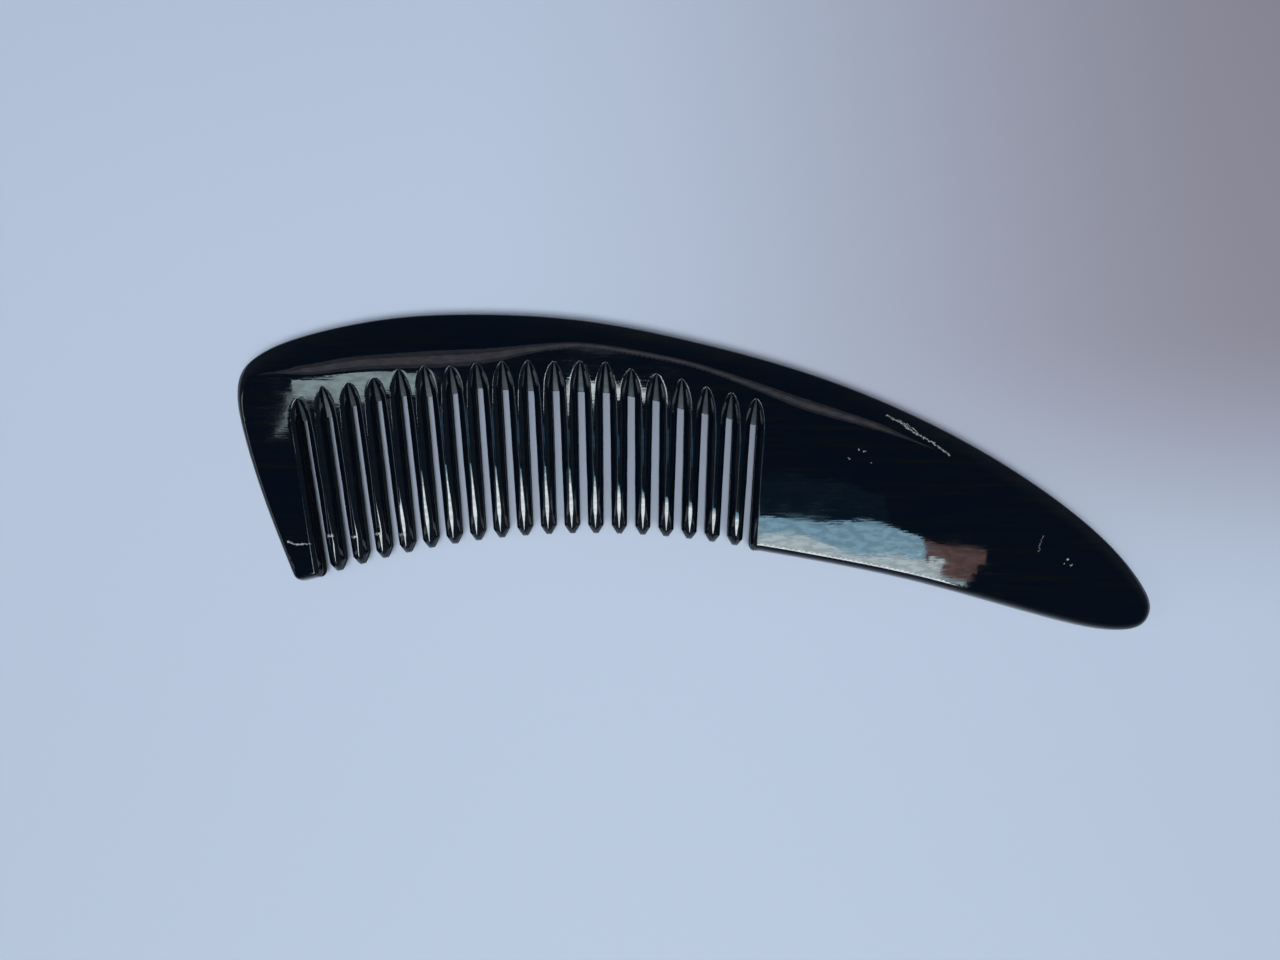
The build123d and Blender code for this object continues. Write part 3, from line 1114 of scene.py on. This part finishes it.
# %% Light
def panel(name, place, size, power, colour=(1, 1, 1), aim=(0, 0, 0)):
    """A soft rectangular light that faces a point."""
    data = bpy.data.lights.new(name, "AREA")
    data.shape = "RECTANGLE"
    data.size, data.size_y = size
    data.energy = power
    data.color = colour
    lamp = bpy.data.objects.new(name, data)
    lamp.location = place
    lamp.rotation_euler = (Vector(place) - Vector(aim)).to_track_quat("Z", "Y").to_euler()
    lamp.visible_camera = False
    bpy.context.scene.collection.objects.link(lamp)
    return lamp


window_turn = math.radians(-7.5)


def window_place(along, back):
    """A place on the ceiling, measured along the window's near edge and back from it."""
    return (
        along * math.cos(window_turn) + back * math.sin(window_turn),
        -0.035 + along * math.sin(window_turn) - back * math.cos(window_turn),
        1.0,
    )


def window_pane(name, left, right, near, far, power, colour):
    """One pane of the window, between two places along it and two depths back from its near edge."""
    place = window_place((left + right) / 2, (near + far) / 2)
    lamp = panel(name, place, (right - left, far - near), power, colour, aim=(place[0], place[1], 0))
    lamp.rotation_euler.z = window_turn
    return lamp


window_pane("window_clear", -0.29, 0.38, 0.075, 0.50, 14.5, (0.86, 0.95, 1.0))
window_pane("window_low", -0.29, 0.375, 0.036, 0.075, 0.80, (0.78, 0.94, 1.0))
window_pane("window_corner", 0.375, 0.41, 0.062, 0.08, 0.012, (0.70, 0.92, 1.0))
window_pane("window_high", -0.29, 0.35, 0.0, 0.036, 0.60, (0.40, 0.72, 0.93))
window_pane("window_shade", -0.29, 0.30, -0.055, 0.0, 0.012, (0.12, 0.50, 0.9))
window_pane("window_haze", -0.27, 0.05, -0.09, 0.0, 0.16, (0.14, 0.50, 0.9))
window_pane("curtain", 0.35, 0.43, 0.005, 0.034, 0.014, (0.85, 0.50, 0.45))
window_pane("curtain_fold", 0.375, 0.418, 0.034, 0.062, 0.007, (0.85, 0.50, 0.45))
overhead_lamps = [  # name, place, size, power and colour
    ("far_lamp", (-0.362, 0.115, 1.0), (0.19, 0.034), 0.11, (0.72, 0.94, 1.0)),
    ("far_lamp_end", (-0.458, 0.085, 1.0), (0.018, 0.04), 0.006, (0.75, 0.95, 1.0)),
    ("near_lamp", (-0.042, 0.106, 1.0), (0.13, 0.018), 0.085, (0.85, 0.97, 1.0)),
    ("beam", (-0.05, 0.27, 1.0), (1.0, 0.20), 0.24, (0.92, 0.88, 0.96)),
    ("beam_core", (-0.05, 0.26, 0.99), (0.9, 0.09), 0.12, (0.92, 0.86, 0.92)),
]
for name, place, size, power, colour in overhead_lamps:
    panel(name, place, size, power, colour, aim=(*place[:2], 0))
panel("side_lamp", (-0.9, -0.1, 0.75), (0.4, 0.5), 1.2, (0.85, 0.93, 1.0))
world = bpy.data.worlds.new("room")
bpy.context.scene.world = world
world.use_nodes = True
air, wires = world.node_tree.nodes, world.node_tree.links
direction = air.new("ShaderNodeTexCoord").outputs["Generated"]
height = air.new("ShaderNodeSeparateXYZ")
wires.new(direction, height.inputs[0])


def sky_ramp(axis, settings):
    """The room's light along one axis: from low, from high, light there and light here."""
    made = air.new("ShaderNodeMapRange")
    made.interpolation_type = "SMOOTHSTEP"
    for socket, value in zip(made.inputs[1:5], settings):
        socket.default_value = value
    wires.new(height.outputs[axis], made.inputs[0])
    return made.outputs[0]


glow = air.new("ShaderNodeMath")
glow.operation = "MULTIPLY"
wires.new(sky_ramp("Z", (0.35, 0.97, 0.17, 0.012)), glow.inputs[0])
wires.new(sky_ramp("Y", (-0.9, 0.2, 1.3, 0.6)), glow.inputs[1])
sky = air["Background"]
sky.inputs["Color"].default_value = (0.80, 0.90, 1.0, 1)
wires.new(glow.outputs[0], sky.inputs["Strength"])
bpy.context.scene.view_settings.view_transform = "Standard"

# %% Camera
# Straight over the comb, a hand's length above it, as a phone would be held.
camera_height = 0.200
view_width = 0.2724
camera_data = bpy.data.cameras.new("camera")
camera_data.sensor_width = 36
camera_data.lens = camera_data.sensor_width * camera_height / view_width
camera = bpy.data.objects.new("camera", camera_data)
camera.location = (-0.01128, -0.0017, camera_height + half_thick * METRE)
bpy.context.scene.collection.objects.link(camera)
bpy.context.scene.camera = camera

# %% Print the frame's bounds
bpy.context.view_layer.update()
print("cad", [round(v, 4) for v in (*cad_low, *cad_high)])
